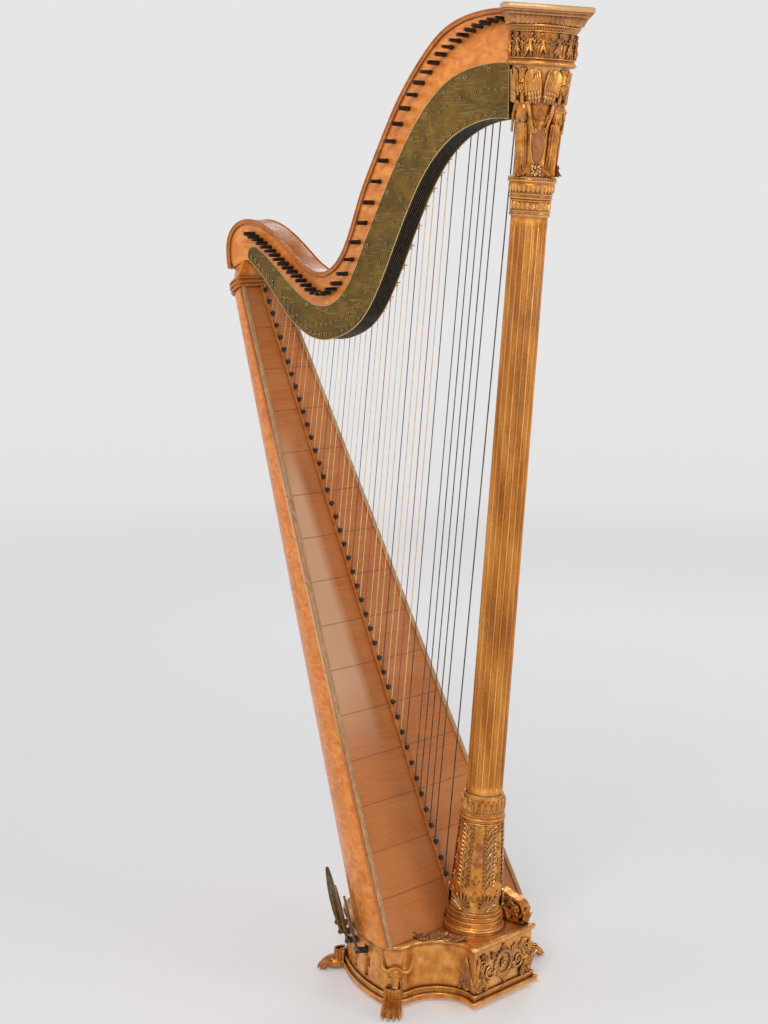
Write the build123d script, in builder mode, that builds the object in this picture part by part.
from build123d import *
import os
from math import asin, cos, radians, sin, tan

os.makedirs("parts", exist_ok=True)

# Frame: +X to the column (front), -Y the player's right, +Z up, floor at Z = 0.

# ---- base -------------------------------------------------------------------
BASE_TOP = 117.0            # height of the upper face of the base
TOP_BOARD = 10.0
TOP_OVERHANG = 2.0
BOX_BOTTOM = 14.0
BOX_WALL = 12.0
BOTTOM_BOARD = 10.0
PLINTH_BOTTOM = 8.0
PLINTH_STEP = 18.0
PLINTH_TOP = 28.0
PLINTH_GROW = 7.0
PLINTH_STEP_GROW = 3.0
BASE_FRONT = 255.0
BASE_FRONT_HALF = 80.0
ROD_HOLE = 24.0             # radius of the hole that the pedal rods rise through

PAWS = [((156, 184), (0.62, 0.79)), ((-62, 106), (-0.74, 0.67))]    # spot and outward direction
PAW_LENGTH = 72.0
PAW_WIDTH = 40.0
PAW_HEIGHT = 27.0
PAW_TAPER = 12.0
LEG_HEIGHT = 40.0
CONSOLE_SPOT = (222, 69)
CONSOLE_LENGTH = 64.0
CONSOLE_WIDTH = 22.0
CONSOLE_HEIGHT = 58.0

# ---- column -----------------------------------------------------------------
COLUMN_X = 186.0            # where the column axis meets the base top
COLUMN_LEAN = 4.5
COLUMN_BORE = 20.0
FOOT_ROOM_R = 54.4          # the soundbox is notched round the column foot
FOOT_TOP = 254.0            # distances up the column axis from the base top
SHAFT_TOP = 1259.0
SHAFT_R_LOW = 32.4
SHAFT_R_HIGH = 30.8
FLUTES = 18
FLUTE_R = 4.4
FLUTE_DEPTH = 2.6
BELL_TOP = 1502.0
FRIEZE_TOP = 1566.0
LEAF_TOP = 1583.0
ABACUS_TOP = 1597.0
ABACUS_HALF_DIAGONAL = 105.0
LEAF_HALF_DIAGONAL = 84.0
ABACUS_SHIFT = -3.0         # the square cap sits a little towards the neck
ABACUS_END = 262.0          # the cap is cut off square here, where the neck runs in under it
CORNER_CUT = 6.0
LEAF_FLARE = 25.0
FIGURE_ANGLES = (0, 90, -90)    # three standing figures; the fourth side joins the neck
FIGURE_FOOT = 1326.0
FIGURE_OUT = 31.0
FIGURE_LEAN = 5.0
HEAD_R = 9.5
POLO_R = 7.5

# ---- soundbox ---------------------------------------------------------------
BOARD_X = 148.0             # where the soundboard meets the base top
BOARD_LEAN = 24.0
BOARD_THICK = 4.0
BOX_LENGTH = 1232.0
BOX_START = -140.0          # the body runs this far below the base top before it is cut level
HALF_WIDTH_LOW = 190.0
HALF_WIDTH_TAPER = 0.1085
DEPTH_LOW = 175.0
DEPTH_TAPER = 0.1025
SHELL_WALL = 6.0
COLLAR_TOP = 1248.0
COLLAR_GROW = 4.0
FLARE_TOP = 1280.0
FLARE_FRONT = 12.0
FLARE_BACK = 36.0
BEAD_WIDTH = 9.0
BEAD_HEIGHT = 4.0
BEAD_INSET = 3.0
BAR_WIDTH = 13.0
BAR_HEIGHT = 6.0
INNER_BAR_WIDTH = 30.0
INNER_BAR_THICK = 6.0
PEG_SHAFT_R = 2.4
PEG_HOLE_R = 2.5
PEG_HEAD_R = 4.6
PEG_HEAD_HEIGHT = 6.0
PEG_HEAD_TAPER = 12.0
# distance up the body, length and width of each sound hole
SOUND_HOLES = [(185, 130, 62), (405, 120, 54), (610, 110, 46), (805, 100, 38), (985, 90, 32)]
RIB_SPOTS = (290, 505, 705, 893)
RIB_THICK = 8.0
RIB_DEPTH = 16.0
TOP_BLOCK = 80.0
FOOT_BLOCK = 60.0
BAR_LOW = 24.0
BAR_END_GAP = 2.0

# ---- neck -------------------------------------------------------------------
NECK_NEAR = -35.0           # outer faces of the two brass plates
NECK_FAR = 9.0
PLATE_THICK = 3.0
CREST_THICK = 6.0
CREST_PROUD = 3.0
CORE_SHARE = 0.4            # how far the wood reaches down between the plates
SHOULDER_X = -342.0         # seam between the neck and the shoulder block

CREST = [(265, 1707), (202, 1706), (126, 1682), (71, 1632), (26, 1574), (-20, 1494), (-67, 1401),
         (-103, 1316), (-133, 1281), (-163, 1271), (-191, 1279), (-242, 1315), (-300, 1353), (-348, 1366)]
SHOULDER = [(-380, 1359), (-401, 1338), (-407, 1309), (-403, 1274)]
PLATE_TOP = [(265, 1621), (205, 1620), (140, 1601), (74, 1545), (29, 1482), (-18, 1399), (-65, 1308),
             (-101, 1245), (-135, 1217), (-168, 1212), (-215, 1230), (-267, 1270), (-330, 1315)]
PLATE_BOTTOM = [(265, 1531), (206, 1529), (141, 1502), (86, 1449), (53, 1397), (18, 1328), (-21, 1249),
                (-76, 1178), (-120, 1157), (-165, 1151), (-215, 1168), (-267, 1213), (-350, 1291)]
PLATE_END = (-352, 1307)
PIN_ROW = [(265, 1691), (200, 1681), (117, 1636), (38, 1547), (-35, 1405), (-67, 1336),
           (-95, 1282), (-120, 1250), (-157, 1234), (-202, 1255), (-250, 1286), (-354, 1346)]

# ---- strings ----------------------------------------------------------------
STRINGS = 43
FIRST_PEG = 85.0            # lowest peg, up the soundboard from the base top
PEG_STEP_LOW = 30.2         # spacing of the pegs at the bass end and at the treble end
PEG_STEP_HIGH = 23.9
STRING_SLOPE_LOW = 0.0895   # forward lean of the bass and treble strings
STRING_SLOPE_HIGH = 0.060
STRING_Y_LOW = 22.0         # side offset of the strings at the neck
STRING_Y_HIGH = 14.0
STRING_R_LOW = 1.15
STRING_R_HIGH = 0.35
WOUND_STRINGS = 9
MISSING_STRINGS = (2, 8)    # counted from the bass end
NATURAL_RATIO = 0.0561      # one semitone shorter
SHARP_RATIO = 0.1091        # two semitones shorter
DISC_MARGIN = 9.0
PIN_R = 3.2
PIN_CLEARANCE = 0.05
PIN_HEAD = 27.0
PIN_TAIL = 24.0
NUT_R = 2.2
NUT_PROUD = 3.5
NUT_DROP_LOW = 30.0         # least distance from a tuning pin down to its nut
NUT_DROP_HIGH = 14.0
PIN_HEAD_R = 4.2
PIN_HEAD_TAPER = 3.4
DISC_R = 5.0
DISC_THICK = 2.5
FORK_SHARE = 0.52           # of the disc's radius
FORK_R_SHARE = 0.2
FORK_PROUD = 4.0
SPINDLE_R = 1.6
SPINDLE_SHARE = 0.5
SPINDLE_HEAD_R = 2.6
SPINDLE_HEAD = 1.4
LINKS = 7
LINK_OUTER = 1.5            # distances in from the plates' lower edge
LINK_INNER = 0.3
LINK_THICK = 2.0
LINK_PITCH = 5.0
LINK_FRONT = 225.0
PLATE_SCREWS = 16
SCREW_SHARE = 0.12
SCREW_HEAD_R = 3.2
SCREW_HEAD = 1.0

# ---- pedals -----------------------------------------------------------------
AXLE_X = 230.0
ARM_Z = 84.0
AXLE_R = 4.0
AXLE_HALF = 27.0
BEARING_Y = 24.0
BEARING_LENGTH = 16.0
BEARING_WIDTH = 8.0
HUB_BORE_R = 4.05
HUB_R = 8.0
ARM_WIDTH = 4.9
ARM_PITCH = 5.4
ARM_HEIGHT = 10.0
ROD_R = 2.0
ROD_GAP = 1.2
ROD_TOP = 1440.0
SLOT_WIDTH = 13.0
SLOT_NOTCH = 7.0
SLOT_BOTTOM = 36.0
SLOT_TOP = 94.0
PEDAL_NAMES = ["a", "g", "f", "e", "b", "c", "d"]      # from the player's right to the left
PEDAL_SLOTS = [(68, -155), (24, -132), (-15, -108), (-50, -80), (-50, 80), (-7, 113), (44, 144)]
ARM_BENDS = [184, 173, 161, 150, 155, 167, 180]        # X where each arm turns out to its slot
ARM_OVERHANG = 17.0
FOLD_PIN_R = 2.0
FOOT_LENGTH = 104.0
FOOT_WIDTH = 26.0
FOOT_THICK = 4.0
FOOT_LEAN = 13.0
FOOT_ROOT = 8.0
FOOT_ROOT_HALF = 7.4
KNUCKLE_GAP = 0.4
KNUCKLE_WIDTH = 4.5
KNUCKLE_R = 5.0
KNUCKLE_OUT = 7.0


def finish(name, label):
    """Label a finished sub-part and write it to its own file."""
    name.part.label = label
    export_step(name.part, f"parts/{label}.step")


def mix(a, b, share):
    return a + (b - a) * share


def base_plan(grow=0.0):
    """Plan of the base: flat front, hollow sides, a rounded nose over each front paw, round back."""
    with BuildSketch() as plan:
        with BuildLine():
            front = Line((BASE_FRONT, 0), (BASE_FRONT, -BASE_FRONT_HALF))
            lip = Line(front @ 1, (240, -74))
            hollow = ThreePointArc(lip @ 1, (176, -92), (155, -141))
            nose = ThreePointArc(hollow @ 1, (149, -162), (124, -172))
            flank = ThreePointArc(nose @ 1, (43, -144), (-39, -91))
            ThreePointArc(flank @ 1, (-70, -50), (-81, 0))
            mirror(about=Plane.XZ)
        make_face()
        if grow:
            offset(amount=grow, kind=Kind.INTERSECTION if grow > 0 else Kind.ARC)
    return plan.sketch


def on_board(along, side=0.0, out=0.0):
    """A point at a distance up the soundboard, to the side, and out from its front face."""
    lean = radians(BOARD_LEAN)
    x = BOARD_X - along * sin(lean) + out * cos(lean)
    z = BASE_TOP + along * cos(lean) + out * sin(lean)
    return Vector(x, side, z)


def board_section(along):
    """Plane across the soundbox: its X is the harp's Y, its Y points out of the soundboard."""
    up = on_board(1) - on_board(0)
    return Plane(origin=on_board(along), x_dir=(0, 1, 0), z_dir=-up)


def board_face(out=0.0):
    """Plane of the soundboard: its Y runs up the board, its X along the harp's -Y."""
    return Plane(origin=on_board(0, 0, out), x_dir=(0, 1, 0), z_dir=on_board(0, 0, 1) - on_board(0))


def half_width(along):
    return HALF_WIDTH_LOW - HALF_WIDTH_TAPER * along


def depth(along):
    return DEPTH_LOW - DEPTH_TAPER * along


def half_ellipse(along, grow=0.0, front=-BOARD_THICK):
    """The round-backed section of the soundbox, open side to the soundboard."""
    a = half_width(along) + grow
    b = depth(along) + grow
    with BuildSketch(board_section(along)) as section:
        Ellipse(a, b)
        with Locations((0, front + b)):
            Rectangle(2.2 * a, 2 * b, mode=Mode.SUBTRACT)
    return section.sketch


def column_axis():
    return Vector(sin(radians(COLUMN_LEAN)), 0, cos(radians(COLUMN_LEAN)))


def on_column(along, radius=0.0, angle=0.0):
    """A point at a distance up the column axis, and out from it at an angle from the front."""
    front = Vector(cos(radians(COLUMN_LEAN)), 0, -sin(radians(COLUMN_LEAN)))
    out = front * cos(radians(angle)) + Vector(0, 1, 0) * sin(radians(angle))
    return Vector(COLUMN_X, 0, BASE_TOP) + column_axis() * along + out * radius


def column_plane(along=0.0, radius=0.0, angle=0.0):
    """Plane square to the column axis."""
    forward = on_column(0, 1) - on_column(0)
    return Plane(origin=on_column(along, radius, angle), x_dir=forward, z_dir=column_axis())


def turning_plane():
    """Plane through the column axis, for turned profiles: X is the radius, Y the way up the axis."""
    return Plane(origin=on_column(0), x_dir=on_column(0, 1) - on_column(0), z_dir=(0, -1, 0))


def turning_axis():
    return Axis(on_column(0), column_axis())


def side_plane(y):
    """Upright plane along the neck at the given Y: its X and Y are the harp's X and Z."""
    return Plane.XZ.offset(-y)


def rod_side(index):
    """Y of the pedal arm and rod of the given pedal."""
    return ARM_PITCH * (index - 3)


# ---------------------------------------------------------------- base

with BuildPart() as base_box:
    with BuildSketch(Plane.XY.offset(BOX_BOTTOM)):
        add(base_plan())
        add(base_plan(-BOX_WALL), mode=Mode.SUBTRACT)
    extrude(amount=BASE_TOP - TOP_BOARD - BOX_BOTTOM)
    for index, (x, y) in enumerate(PEDAL_SLOTS):
        start = Vector(ARM_BENDS[index], rod_side(index))
        run = (Vector(x, y) - start).normalized()
        slot_plane = Plane(origin=(x, y, 0), x_dir=run, z_dir=(0, 0, 1))
        notch_side = 1 if y < 0 else -1
        slot_height = SLOT_TOP - SLOT_BOTTOM
        with BuildSketch(slot_plane.offset(SLOT_BOTTOM)):
            Rectangle(4 * BOX_WALL, SLOT_WIDTH)
        extrude(amount=slot_height, mode=Mode.SUBTRACT)
        with BuildSketch(slot_plane.offset(SLOT_BOTTOM + slot_height / 3)):
            with Locations((0, notch_side * SLOT_NOTCH)):
                Rectangle(4 * BOX_WALL, SLOT_WIDTH)
        extrude(amount=slot_height / 3, mode=Mode.SUBTRACT)
finish(base_box, "base_box")

with BuildPart() as base_top_board:
    with BuildSketch(Plane.XY.offset(BASE_TOP - TOP_BOARD)):
        add(base_plan(TOP_OVERHANG))
    extrude(amount=TOP_BOARD)
    with BuildSketch(Plane.XY.offset(BASE_TOP - TOP_BOARD)):
        with Locations((COLUMN_X, 0)):
            Circle(ROD_HOLE)
    extrude(amount=TOP_BOARD, mode=Mode.SUBTRACT)
finish(base_top_board, "base_top_board")

with BuildPart() as base_bottom_board:
    with BuildSketch(Plane.XY.offset(BOX_BOTTOM)):
        add(base_plan(-BOX_WALL))
    extrude(amount=BOTTOM_BOARD)
finish(base_bottom_board, "base_bottom_board")

with BuildPart() as base_plinth:
    with BuildSketch(Plane.XY.offset(PLINTH_BOTTOM)):
        add(base_plan(PLINTH_GROW))
    extrude(amount=PLINTH_STEP - PLINTH_BOTTOM)
    with BuildSketch(Plane.XY.offset(PLINTH_STEP)):
        add(base_plan(PLINTH_STEP_GROW))
    extrude(amount=PLINTH_TOP - PLINTH_STEP)
    with BuildSketch(Plane.XY.offset(BOX_BOTTOM)):
        add(base_plan())
    extrude(amount=PLINTH_TOP - BOX_BOTTOM, mode=Mode.SUBTRACT)
    with BuildSketch(Plane.XY.offset(PLINTH_BOTTOM)):
        add(base_plan(-BOX_WALL))
    extrude(amount=BOX_BOTTOM - PLINTH_BOTTOM, mode=Mode.SUBTRACT)
finish(base_plinth, "base_plinth")


def paw_plane(reach, foot):
    """Plane on the floor at a paw: X runs outwards along the paw."""
    return Plane(origin=foot, x_dir=reach, z_dir=(0, 0, 1))


with BuildPart() as paw_feet:
    for side in (-1, 1):
        for (x, y), (reach_x, reach_y) in PAWS:
            ground = paw_plane((reach_x, side * reach_y, 0), (x, side * y, 0))
            with BuildSketch(ground):
                SlotOverall(PAW_LENGTH, PAW_WIDTH)
            extrude(amount=PAW_HEIGHT, taper=PAW_TAPER)
            with BuildSketch(ground):
                with Locations((-PAW_LENGTH / 3, 0)):
                    RectangleRounded(PAW_LENGTH / 3, PAW_WIDTH * 0.8, PAW_WIDTH / 4)
            extrude(amount=LEG_HEIGHT)
    with BuildSketch(Plane.XY.offset(PLINTH_BOTTOM)):
        add(base_plan(PLINTH_GROW))
    extrude(amount=LEG_HEIGHT, mode=Mode.SUBTRACT)
finish(paw_feet, "paw_feet")

with BuildPart() as scroll_console:
    with BuildSketch(Plane.XY.offset(BASE_TOP)):
        with Locations(CONSOLE_SPOT):
            RectangleRounded(CONSOLE_LENGTH, CONSOLE_WIDTH, 6)
    extrude(amount=CONSOLE_HEIGHT)
    fillet(scroll_console.faces().sort_by(Axis.Z)[-1].edges(), radius=8)
finish(scroll_console, "scroll_console")

# ---------------------------------------------------------------- column

with BuildPart() as column_foot:
    with BuildSketch(turning_plane()):
        with BuildLine():
            floor = Line((ROD_HOLE, -14), (50, -14))
            torus = ThreePointArc(floor @ 1, (54, 0), (50, 14))
            fillets = Polyline(torus @ 1, (50, 22), (48.6, 22), (48.6, 31), (47.4, 31), (47.4, 39), (46.6, 39))
            bell = ThreePointArc(fillets @ 1, (42.3, 124), (37.6, 204))
            ring = ThreePointArc(bell @ 1, (39.4, 213), (37.6, 220))
            band = ThreePointArc(ring @ 1, (36.6, 238), (33.9, FOOT_TOP))
            Polyline(band @ 1, (ROD_HOLE, FOOT_TOP), floor @ 0)
        make_face()
    revolve(axis=turning_axis())
    split(bisect_by=Plane.XY.offset(BASE_TOP), keep=Keep.TOP)
finish(column_foot, "column_foot")


def fluted_section(along, radius):
    """Section of the shaft: a circle with a ring of hollow flutes."""
    with BuildSketch(column_plane(along)) as section:
        Circle(radius)
        with PolarLocations(radius + FLUTE_R - FLUTE_DEPTH, FLUTES):
            Circle(FLUTE_R, mode=Mode.SUBTRACT)
    return section.sketch


with BuildPart() as column_shaft:
    loft([fluted_section(FOOT_TOP, SHAFT_R_LOW), fluted_section(SHAFT_TOP, SHAFT_R_HIGH)], ruled=True)
    with BuildSketch(column_plane(FOOT_TOP)):
        Circle(COLUMN_BORE)
    extrude(amount=SHAFT_TOP - FOOT_TOP, mode=Mode.SUBTRACT)
finish(column_shaft, "column_shaft")

with BuildPart() as capital_bell:
    with BuildSketch(turning_plane()):
        with BuildLine():
            seat = Line((COLUMN_BORE, SHAFT_TOP), (31.5, SHAFT_TOP))
            rings = Polyline(seat @ 1, (33.4, 1263), (33.4, 1270), (32.4, 1271), (32.4, 1284),
                             (34.6, 1291), (34.6, 1300))
            gadroons = ThreePointArc(rings @ 1, (37.6, 1305), (37.8, 1314))
            lip_ring = ThreePointArc(gadroons @ 1, (40, 1318.5), (38.5, 1323))
            neck_line = Line(lip_ring @ 1, (33, 1326))
            flare_line = ThreePointArc(neck_line @ 1, (36, 1420), (48, BELL_TOP))
            Polyline(flare_line @ 1, (COLUMN_BORE, BELL_TOP), seat @ 0)
        make_face()
    revolve(axis=turning_axis())
finish(capital_bell, "capital_bell")

with BuildPart() as capital_frieze:
    with BuildSketch(turning_plane()):
        with BuildLine():
            under = Line((COLUMN_BORE, BELL_TOP), (54.5, BELL_TOP))
            lip_edge = ThreePointArc(under @ 1, (57.5, 1506), (54.5, 1512))
            drum = Polyline(lip_edge @ 1, (53, 1514), (53, 1554))
            cove = ThreePointArc(drum @ 1, (55, 1561), (60, FRIEZE_TOP))
            Polyline(cove @ 1, (COLUMN_BORE, FRIEZE_TOP), under @ 0)
        make_face()
    revolve(axis=turning_axis())
finish(capital_frieze, "capital_frieze")


def square_cap(half_diagonal):
    """The capital's square plan, set cornerwise, with its points cut off."""
    with BuildSketch() as cap:
        with Locations((ABACUS_SHIFT, 0)):
            Rectangle(half_diagonal * 2**0.5, half_diagonal * 2**0.5, rotation=45)
        chamfer(cap.vertices(), length=CORNER_CUT * 2**0.5)
    return cap.sketch


with BuildPart() as capital_abacus:
    with BuildSketch(column_plane(FRIEZE_TOP)):
        add(square_cap(LEAF_HALF_DIAGONAL))
    extrude(amount=LEAF_TOP - FRIEZE_TOP, taper=-LEAF_FLARE)
    with BuildSketch(column_plane(LEAF_TOP)):
        add(square_cap(ABACUS_HALF_DIAGONAL))
    extrude(amount=ABACUS_TOP - LEAF_TOP)
    split(bisect_by=Plane.YZ.offset(ABACUS_END), keep=Keep.TOP)
finish(capital_abacus, "capital_abacus")

with BuildPart() as capital_figures:
    for angle in FIGURE_ANGLES:
        outward = on_column(0, 1, angle) - on_column(0)
        lean = radians(FIGURE_LEAN)
        stance = column_axis() * cos(lean) + outward * sin(lean)
        chest = outward * cos(lean) - column_axis() * sin(lean)
        hem = on_column(FIGURE_FOOT, FIGURE_OUT, angle)
        with BuildSketch(Plane(origin=hem, x_dir=chest, z_dir=chest.cross(stance))):
            with BuildLine():
                skirt = Polyline((0, 0), (9.3, 0), (8.2, 46), (7.6, 83), (10.5, 108), (11.3, 121), (4.2, 134))
                face = ThreePointArc(skirt @ 1, (HEAD_R, 145), (6.5, 154))
                Polyline(face @ 1, (POLO_R, 156), (POLO_R, 172), (0, 172), (0, 0))
            make_face()
        revolve(axis=Axis(hem, stance))
    add(capital_bell.part, mode=Mode.SUBTRACT)
finish(capital_figures, "capital_figures")

# ---------------------------------------------------------------- strings, pins and discs: where each one is


def mix_points(first, second, share):
    return [(mix(a[0], b[0], share), mix(a[1], b[1], share)) for a, b in zip(first, second)]


def crossing(curve, foot, slope):
    """Point (x, z) where a string's line in side view crosses a curve of the neck."""
    low, high = 0.0, 1.0
    for _ in range(30):
        middle = (low + high) / 2
        spot = curve.position_at(middle)
        ahead = spot.X > foot.X + slope * (spot.Y - foot.Z)
        low, high = (middle, high) if ahead else (low, middle)
    return spot.X, spot.Y


class StringRun:
    """One string, counted from the bass: its foot, direction and the height of everything on it."""

    def __init__(self, index, pin_line, lower_edge):
        share = index / (STRINGS - 1)
        gaps = [mix(PEG_STEP_LOW, PEG_STEP_HIGH, gap / (STRINGS - 2)) for gap in range(index)]
        self.peg = FIRST_PEG + sum(gaps)
        self.radius = mix(STRING_R_LOW, STRING_R_HIGH, share**0.7)
        self.foot = on_board(self.peg + PEG_HEAD_R + self.radius + 0.3, 0, BAR_HEIGHT + 1.02 * self.radius)
        self.slope = mix(STRING_SLOPE_LOW, STRING_SLOPE_HIGH, share)
        edge = crossing(lower_edge, self.foot, self.slope)[1]
        self.pin_z = crossing(pin_line, self.foot, self.slope)[1]
        nut = (edge + DISC_MARGIN - SHARP_RATIO * self.foot.Z) / (1 - SHARP_RATIO)
        self.nut_z = min(nut, self.pin_z - mix(NUT_DROP_LOW, NUT_DROP_HIGH, share))
        length = self.nut_z - self.foot.Z
        self.natural_z = self.nut_z - NATURAL_RATIO * length
        self.sharp_z = max(self.nut_z - SHARP_RATIO * length, edge + DISC_MARGIN)
        self.disc_r = min(DISC_R, 0.42 * (self.natural_z - self.sharp_z))
        self.side = mix(STRING_Y_LOW, STRING_Y_HIGH, share) / (self.nut_z - self.foot.Z)

    def at(self, z):
        """Point on the string's axis at a height."""
        rise = z - self.foot.Z
        return Vector(self.foot.X + self.slope * rise, self.side * rise, z)


pin_curve = Spline(*PIN_ROW)
edge_curve = Spline(*PLATE_BOTTOM)
runs = [StringRun(index, pin_curve, edge_curve) for index in range(STRINGS)]
pin_spots = [(run.at(run.pin_z).X + PIN_R + run.radius + 0.05, run.pin_z) for run in runs]
nut_spots = [(run.at(run.nut_z).X + NUT_R + run.radius + 0.05, run.nut_z) for run in runs]
natural_spots = [(run.at(run.natural_z).X, run.natural_z) for run in runs]
sharp_spots = [(run.at(run.sharp_z).X, run.sharp_z) for run in runs]
spindle_spots = natural_spots + sharp_spots

# ---------------------------------------------------------------- neck

with BuildSketch() as neck_blank:
    with BuildLine():
        crest_line = Spline(*CREST, *SHOULDER)
        Polyline(crest_line @ 1, (-380, 1180), (-200, 1080), (60, 1080), (265, 1400), crest_line @ 0)
    make_face()

with BuildSketch() as crest_band:
    with BuildLine():
        Spline(*CREST, *SHOULDER)
    trace(line_width=2 * CREST_THICK)
    add(neck_blank.sketch, mode=Mode.INTERSECT)

with BuildSketch() as plate_face:
    with BuildLine():
        plate_top = Spline(*PLATE_TOP)
        plate_bottom = Spline(*PLATE_BOTTOM)
        ThreePointArc(plate_top @ 1, PLATE_END, plate_bottom @ 1)
        Line(plate_top @ 0, plate_bottom @ 0)
    make_face()


def below(curve_points, treble_end):
    """Everything under a curve of the neck, down past the neck's lowest point."""
    with BuildSketch() as zone:
        with BuildLine():
            edge = Spline(*curve_points)
            Polyline(edge @ 1, *treble_end, (-460, 1000), (300, 1000), (300, edge.position_at(0).Y), edge @ 0)
        make_face()
    return zone.sketch


flare_front = on_board(FLARE_TOP, 0, FLARE_FRONT)
flare_back = on_board(FLARE_TOP, 0, -2 * FLARE_BACK)
under_plate = below(PLATE_BOTTOM, [(flare_front.X, flare_front.Z), (flare_back.X, flare_back.Z)])
under_core = below(mix_points(PLATE_TOP, PLATE_BOTTOM, CORE_SHARE), [(-460, 1290)])


def capital_cut():
    """What the neck must leave free for the capital that it butts against."""
    return [capital_bell.part, capital_frieze.part, capital_abacus.part]


CORE_NEAR = NECK_NEAR + PLATE_THICK
CORE_FAR = NECK_FAR - PLATE_THICK

with BuildPart() as neck_core:
    with BuildSketch(side_plane(CORE_FAR)):
        add(neck_blank.sketch)
        add(crest_band.sketch, mode=Mode.SUBTRACT)
        add(under_core, mode=Mode.SUBTRACT)
        with Locations((SHOULDER_X, 1200)):
            Rectangle(400, 800, align=(Align.MAX, Align.CENTER), mode=Mode.SUBTRACT)
    extrude(amount=CORE_FAR - CORE_NEAR)
    add(capital_cut(), mode=Mode.SUBTRACT)
    with BuildSketch(side_plane(CORE_FAR)):
        with Locations(*pin_spots):
            Circle(PIN_R + PIN_CLEARANCE)
        with Locations(*spindle_spots):
            Circle(SPINDLE_R + 0.4)
    extrude(amount=CORE_FAR - CORE_NEAR, mode=Mode.SUBTRACT)
finish(neck_core, "neck_core")

with BuildPart() as shoulder_block:
    with BuildSketch(side_plane(CORE_FAR)):
        add(neck_blank.sketch)
        add(crest_band.sketch, mode=Mode.SUBTRACT)
        add(under_plate, mode=Mode.SUBTRACT)
        with Locations((SHOULDER_X, 1200)):
            Rectangle(900, 1400, align=(Align.MIN, Align.CENTER), mode=Mode.SUBTRACT)
    extrude(amount=CORE_FAR - CORE_NEAR)
    with BuildSketch(side_plane(CORE_FAR)):
        with Locations(*pin_spots):
            Circle(PIN_R + PIN_CLEARANCE)
        with Locations(*spindle_spots):
            Circle(SPINDLE_R + 0.4)
    extrude(amount=CORE_FAR - CORE_NEAR, mode=Mode.SUBTRACT)
    with BuildSketch(board_section(FLARE_TOP)) as flare_end:
        with Locations(((NECK_NEAR + NECK_FAR) / 2, FLARE_FRONT)):
            Ellipse((NECK_FAR - NECK_NEAR) / 2, FLARE_BACK + FLARE_FRONT)
        with Locations((0, FLARE_FRONT)):
            Rectangle(200, 200, align=(Align.CENTER, Align.MIN), mode=Mode.SUBTRACT)
    loft([half_ellipse(COLLAR_TOP, 0, -0.5), flare_end.sketch])
finish(shoulder_block, "shoulder_block")

with BuildPart() as neck_crest:
    with BuildSketch(side_plane(NECK_FAR + CREST_PROUD)):
        add(crest_band.sketch)
    extrude(amount=NECK_FAR - NECK_NEAR + 2 * CREST_PROUD)
    add(capital_cut(), mode=Mode.SUBTRACT)
    add(shoulder_block.part, mode=Mode.SUBTRACT)
finish(neck_crest, "neck_crest")

for label, outer_y in (("neck_cheek_far", NECK_FAR), ("neck_cheek_near", CORE_NEAR)):
    with BuildPart() as neck_cheek:
        with BuildSketch(side_plane(outer_y)):
            add(neck_blank.sketch)
            for removed in (crest_band.sketch, under_plate, plate_face.sketch):
                add(removed, mode=Mode.SUBTRACT)
            with Locations(*pin_spots):
                Circle(PIN_R + PIN_CLEARANCE, mode=Mode.SUBTRACT)
            with Locations(SHOULDER[-1]):
                Circle(2 * CREST_THICK, mode=Mode.SUBTRACT)
        extrude(amount=PLATE_THICK)
        add(capital_cut(), mode=Mode.SUBTRACT)
        add(shoulder_block.part, mode=Mode.SUBTRACT)
    finish(neck_cheek, label)

for label, outer_y in (("action_plate_far", NECK_FAR), ("action_plate_near", CORE_NEAR)):
    with BuildPart() as action_plate:
        with BuildSketch(side_plane(outer_y)):
            add(plate_face.sketch)
            with Locations(*spindle_spots):
                Circle(SPINDLE_R + 0.05, mode=Mode.SUBTRACT)
        extrude(amount=PLATE_THICK)
        add(capital_cut(), mode=Mode.SUBTRACT)
    finish(action_plate, label)

with BuildPart() as shoulder_collar:
    loft([half_ellipse(along, COLLAR_GROW, COLLAR_GROW) for along in (BOX_LENGTH, COLLAR_TOP)])
finish(shoulder_collar, "shoulder_collar")

# ---------------------------------------------------------------- soundbox

with BuildPart() as foot_room:
    with BuildSketch(column_plane(-14)):
        Circle(FOOT_ROOM_R)
    extrude(amount=60)

with BuildPart() as soundbox_shell:
    loft([half_ellipse(BOX_START), half_ellipse(BOX_LENGTH)])
    loft([half_ellipse(BOX_START, -SHELL_WALL), half_ellipse(BOX_LENGTH, -SHELL_WALL)], mode=Mode.SUBTRACT)
    split(bisect_by=Plane.XY.offset(BASE_TOP), keep=Keep.TOP)
    for along, length, width in SOUND_HOLES:
        with BuildSketch(board_face(-1.5 * depth(along))):
            with Locations((0, along)):
                SlotOverall(length, width, rotation=90)
        extrude(amount=depth(along), mode=Mode.SUBTRACT)
finish(soundbox_shell, "soundbox_shell")


def inside(along, trim=0.3):
    """Section of the space inside the soundbox."""
    return half_ellipse(along, -SHELL_WALL - trim)


with BuildPart() as soundbox_frame:
    for along in RIB_SPOTS:
        loft([inside(along), inside(along + RIB_THICK)])
        rib_edges = [half_ellipse(spot, -RIB_DEPTH) for spot in (along, along + RIB_THICK)]
        loft(rib_edges, mode=Mode.SUBTRACT)
    loft([inside(BOX_LENGTH - TOP_BLOCK), inside(BOX_LENGTH)])
    loft([inside(BOX_START), inside(FOOT_BLOCK)])
    split(bisect_by=Plane.XY.offset(BASE_TOP), keep=Keep.TOP)
    add(foot_room.part, mode=Mode.SUBTRACT)
finish(soundbox_frame, "soundbox_frame")

with BuildSketch(board_face()) as peg_holes:
    with Locations(*[(0, run.peg) for run in runs]):
        Circle(PEG_HOLE_R)


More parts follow.
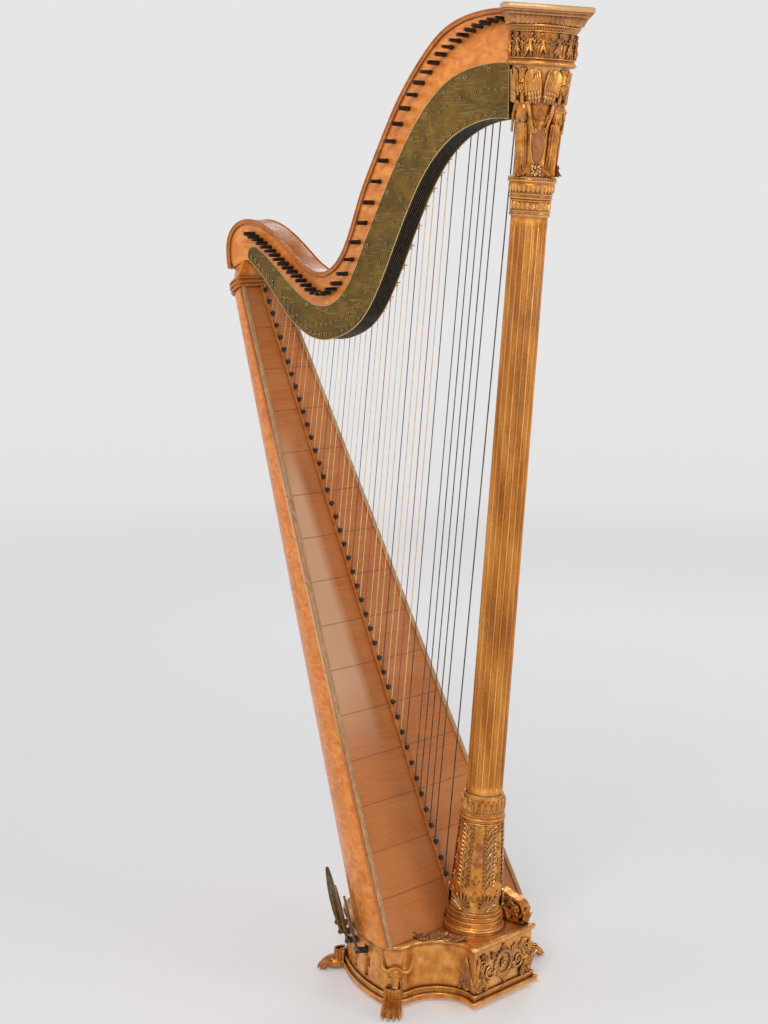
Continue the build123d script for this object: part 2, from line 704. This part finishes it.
def board_outline(inset, low, high):
    """The soundboard's tapering outline between two distances up it."""
    with BuildSketch() as outline:
        with BuildLine():
            Polyline((-half_width(low) + inset, low), (half_width(low) - inset, low),
                     (half_width(high) - inset, high), (-half_width(high) + inset, high), close=True)
        make_face()
    return outline.sketch


with BuildPart() as soundboard:
    with BuildSketch(board_face(-BOARD_THICK)):
        add(board_outline(0.3, -20, BOX_LENGTH))
    extrude(amount=BOARD_THICK)
    extrude(peg_holes.sketch, amount=-BOARD_THICK, mode=Mode.SUBTRACT)
    split(bisect_by=Plane.XY.offset(BASE_TOP), keep=Keep.TOP)
    add(foot_room.part, mode=Mode.SUBTRACT)
finish(soundboard, "soundboard")

with BuildPart() as edge_beads:
    with BuildSketch(board_face()):
        add(board_outline(BEAD_INSET, -20, BOX_LENGTH))
        add(board_outline(BEAD_INSET + BEAD_WIDTH, -60, BOX_LENGTH + 30), mode=Mode.SUBTRACT)
    extrude(amount=BEAD_HEIGHT)
    split(bisect_by=Plane.XY.offset(BASE_TOP), keep=Keep.TOP)
finish(edge_beads, "edge_beads")

with BuildPart() as string_bar:
    with BuildSketch(board_face()):
        with Locations((0, BAR_LOW)):
            Rectangle(BAR_WIDTH, BOX_LENGTH - BAR_LOW - BAR_END_GAP, align=(Align.CENTER, Align.MIN))
    extrude(amount=BAR_HEIGHT)
    extrude(peg_holes.sketch, amount=BAR_HEIGHT, mode=Mode.SUBTRACT)
    add(foot_room.part, mode=Mode.SUBTRACT)
finish(string_bar, "string_bar")

with BuildPart() as inner_string_bar:
    with BuildSketch(board_face(-BOARD_THICK)):
        with Locations((0, FOOT_BLOCK + 5)):
            inner_length = BOX_LENGTH - TOP_BLOCK - FOOT_BLOCK - 10
            Rectangle(INNER_BAR_WIDTH, inner_length, align=(Align.CENTER, Align.MIN))
    extrude(amount=-INNER_BAR_THICK)
    extrude(peg_holes.sketch, amount=-2 * BOARD_THICK - INNER_BAR_THICK, mode=Mode.SUBTRACT)
    add(soundbox_frame.part, mode=Mode.SUBTRACT)
finish(inner_string_bar, "inner_string_bar")

with BuildPart() as string_pegs:
    with BuildSketch(board_face(BAR_HEIGHT)):
        with Locations(*[(0, run.peg) for run in runs]):
            Circle(PEG_SHAFT_R)
    extrude(amount=-BAR_HEIGHT - BOARD_THICK)
    with BuildSketch(board_face(BAR_HEIGHT)):
        with Locations(*[(0, run.peg) for run in runs]):
            Circle(PEG_HEAD_R)
    extrude(amount=PEG_HEAD_HEIGHT, taper=PEG_HEAD_TAPER)
finish(string_pegs, "string_pegs")

# ---------------------------------------------------------------- strings and action


def string_colour(index):
    """Counted from the bass: wound strings first, then gut with every C red and every F black."""
    note = index % 7
    if index < WOUND_STRINGS:
        return "strings_wound"
    return {3: "strings_red", 6: "strings_black"}.get(note, "strings_gut")


for label in ("strings_wound", "strings_gut", "strings_red", "strings_black"):
    with BuildPart() as string_group:
        for index, run in enumerate(runs):
            if string_colour(index) == label and index + 1 not in MISSING_STRINGS:
                top = run.at(run.pin_z)
                along = top - run.foot
                with BuildSketch(Plane(origin=run.foot, z_dir=along)):
                    Circle(run.radius)
                extrude(amount=along.length)
    finish(string_group, label)

with BuildPart() as tuning_pins:
    with BuildSketch(side_plane(NECK_FAR + PIN_TAIL)):
        with Locations(*pin_spots):
            Circle(PIN_R)
    extrude(amount=PIN_TAIL + NECK_FAR - NECK_NEAR)
    with BuildSketch(side_plane(NECK_NEAR)):
        with Locations(*pin_spots):
            Circle(PIN_HEAD_R)
    extrude(amount=PIN_HEAD, taper=PIN_HEAD_TAPER)
finish(tuning_pins, "tuning_pins")

with BuildPart() as string_nuts:
    for run, (x, z) in zip(runs, nut_spots):
        with BuildSketch(side_plane(run.at(z).Y + NUT_PROUD)):
            with Locations((x, z)):
                Circle(NUT_R)
        extrude(amount=run.at(z).Y + NUT_PROUD - NECK_FAR)
finish(string_nuts, "string_nuts")

for label, disc_spots in (("natural_discs", natural_spots), ("sharp_discs", sharp_spots)):
    with BuildPart() as discs:
        for run, (x, z) in zip(runs, disc_spots):
            fork = FORK_SHARE * run.disc_r
            with BuildSketch(side_plane(NECK_FAR + DISC_THICK)):
                with Locations((x, z)):
                    Circle(run.disc_r)
            extrude(amount=DISC_THICK)
            fork_end = run.at(z).Y + FORK_PROUD
            with BuildSketch(side_plane(fork_end)):
                with Locations((x + fork, z + fork), (x - fork, z - fork)):
                    Circle(FORK_R_SHARE * run.disc_r)
            extrude(amount=fork_end - NECK_FAR)
    finish(discs, label)

with BuildPart() as disc_spindles:
    for index, run in enumerate(runs):
        for x, z in (natural_spots[index], sharp_spots[index]):
            spindle_r = min(SPINDLE_R, SPINDLE_SHARE * run.disc_r)
            with BuildSketch(side_plane(NECK_FAR)):
                with Locations((x, z)):
                    Circle(spindle_r)
            extrude(amount=NECK_FAR - NECK_NEAR)
            with BuildSketch(side_plane(NECK_NEAR)):
                with Locations((x, z)):
                    Circle(min(SPINDLE_HEAD_R, run.disc_r))
            extrude(amount=SPINDLE_HEAD)
finish(disc_spindles, "disc_spindles")

with BuildSketch() as link_face:
    with BuildLine():
        Spline(*PLATE_BOTTOM)
    trace(line_width=2 * LINK_OUTER)
    with BuildLine():
        Spline(*PLATE_BOTTOM)
    trace(line_width=2 * LINK_INNER, mode=Mode.SUBTRACT)
    add(plate_face.sketch, mode=Mode.INTERSECT)
    with Locations((LINK_FRONT, 1500)):
        Rectangle(400, 900, align=(Align.MIN, Align.CENTER), mode=Mode.SUBTRACT)

with BuildPart() as action_links:
    for level in range(LINKS):
        with BuildSketch(side_plane(CORE_FAR - LINK_PITCH * (level + 0.7))):
            add(link_face.sketch)
        extrude(amount=LINK_THICK)
    add(shoulder_block.part, mode=Mode.SUBTRACT)
finish(action_links, "action_links")

screw_line = Spline(*mix_points(PLATE_TOP, PLATE_BOTTOM, SCREW_SHARE))
screw_spots = [screw_line.position_at((step + 0.8) / PLATE_SCREWS) for step in range(PLATE_SCREWS - 1)]

with BuildPart() as plate_screws:
    with BuildSketch(side_plane(NECK_NEAR)):
        with Locations(*screw_spots):
            Circle(SCREW_HEAD_R)
    extrude(amount=SCREW_HEAD)
finish(plate_screws, "plate_screws")

# ---------------------------------------------------------------- pedals

with BuildPart() as pedal_axle:
    with BuildSketch(side_plane(AXLE_HALF)):
        with Locations((AXLE_X, ARM_Z)):
            Circle(AXLE_R)
    extrude(amount=2 * AXLE_HALF)
    bearing_floor = BOX_BOTTOM + BOTTOM_BOARD
    for side in (-1, 1):
        with BuildSketch(Plane.XY.offset(bearing_floor)):
            with Locations((AXLE_X, side * BEARING_Y)):
                Rectangle(BEARING_LENGTH, BEARING_WIDTH)
        extrude(amount=ARM_Z + HUB_R - bearing_floor)
finish(pedal_axle, "pedal_axle")


def arm_run(index):
    """Start of the outward run of a pedal arm, its direction, and the spot of its fold pin."""
    start = Vector(ARM_BENDS[index], rod_side(index), ARM_Z)
    slot = Vector(*PEDAL_SLOTS[index], ARM_Z)
    run = (slot - start).normalized()
    return start, run, slot + run * ARM_OVERHANG


for index, pedal in enumerate(PEDAL_NAMES):
    start, run, hinge = arm_run(index)
    across = Plane(origin=hinge, x_dir=(0, 0, 1), z_dir=run.cross(Vector(0, 0, 1)))
    with BuildPart() as pedal_arm:
        with BuildSketch(Plane.XY.offset(ARM_Z - ARM_HEIGHT / 2)):
            with BuildLine():
                Polyline((AXLE_X, rod_side(index)), (start.X, start.Y), (hinge.X, hinge.Y))
            trace(line_width=ARM_WIDTH)
        extrude(amount=ARM_HEIGHT)
        with BuildSketch(side_plane(rod_side(index) + ARM_WIDTH / 2)):
            with Locations((AXLE_X, ARM_Z)):
                Circle(HUB_R)
        extrude(amount=ARM_WIDTH)
        with BuildSketch(side_plane(rod_side(index) + ARM_WIDTH)):
            with Locations((AXLE_X, ARM_Z)):
                Circle(HUB_BORE_R)
        extrude(amount=2 * ARM_WIDTH, mode=Mode.SUBTRACT)
        with BuildSketch(across):
            Circle(ARM_HEIGHT / 2)
        extrude(amount=ARM_WIDTH / 2, both=True)
        with BuildSketch(across):
            Circle(FOLD_PIN_R)
        extrude(amount=KNUCKLE_OUT, both=True)
    finish(pedal_arm, f"pedal_arm_{pedal}")

    blade_up = Vector(0, 0, 1) * cos(radians(FOOT_LEAN)) + run * sin(radians(FOOT_LEAN))
    sideways = run.cross(Vector(0, 0, 1))
    blade_plane = Plane(origin=hinge, x_dir=sideways, z_dir=sideways.cross(blade_up))
    with BuildPart() as pedal_foot:
        with BuildSketch(blade_plane):
            with BuildLine():
                root = Line((0, FOOT_ROOT), (FOOT_ROOT_HALF, FOOT_ROOT))
                side_edge = ThreePointArc(root @ 1, (FOOT_WIDTH / 2, 0.4 * FOOT_LENGTH), (3, FOOT_LENGTH - 2))
                ThreePointArc(side_edge @ 1, (1.5, FOOT_LENGTH - 0.5), (0, FOOT_LENGTH))
                mirror(about=Plane.YZ)
            make_face()
        extrude(amount=FOOT_THICK / 2, both=True)
        for side in (-1, 1):
            knuckle_middle = side * (ARM_WIDTH / 2 + KNUCKLE_GAP + KNUCKLE_WIDTH / 2)
            with BuildSketch(across.offset(knuckle_middle)):
                Circle(KNUCKLE_R)
            extrude(amount=KNUCKLE_WIDTH / 2, both=True)
            with BuildSketch(blade_plane):
                with Locations((knuckle_middle, FOOT_ROOT / 2)):
                    Rectangle(KNUCKLE_WIDTH, FOOT_ROOT + 2)
            extrude(amount=FOOT_THICK / 2, both=True)
        with BuildSketch(across):
            Circle(FOLD_PIN_R + 0.05)
        extrude(amount=FOOT_WIDTH, both=True, mode=Mode.SUBTRACT)
    finish(pedal_foot, f"pedal_foot_{pedal}")

    with BuildPart() as pedal_rod:
        low_end = (ARM_Z + ARM_HEIGHT / 2 + ROD_GAP - BASE_TOP) / cos(radians(COLUMN_LEAN))
        with BuildSketch(column_plane(low_end)):
            with Locations((0, rod_side(index))):
                Circle(ROD_R)
        extrude(amount=ROD_TOP - low_end)
    finish(pedal_rod, f"pedal_rod_{pedal}")
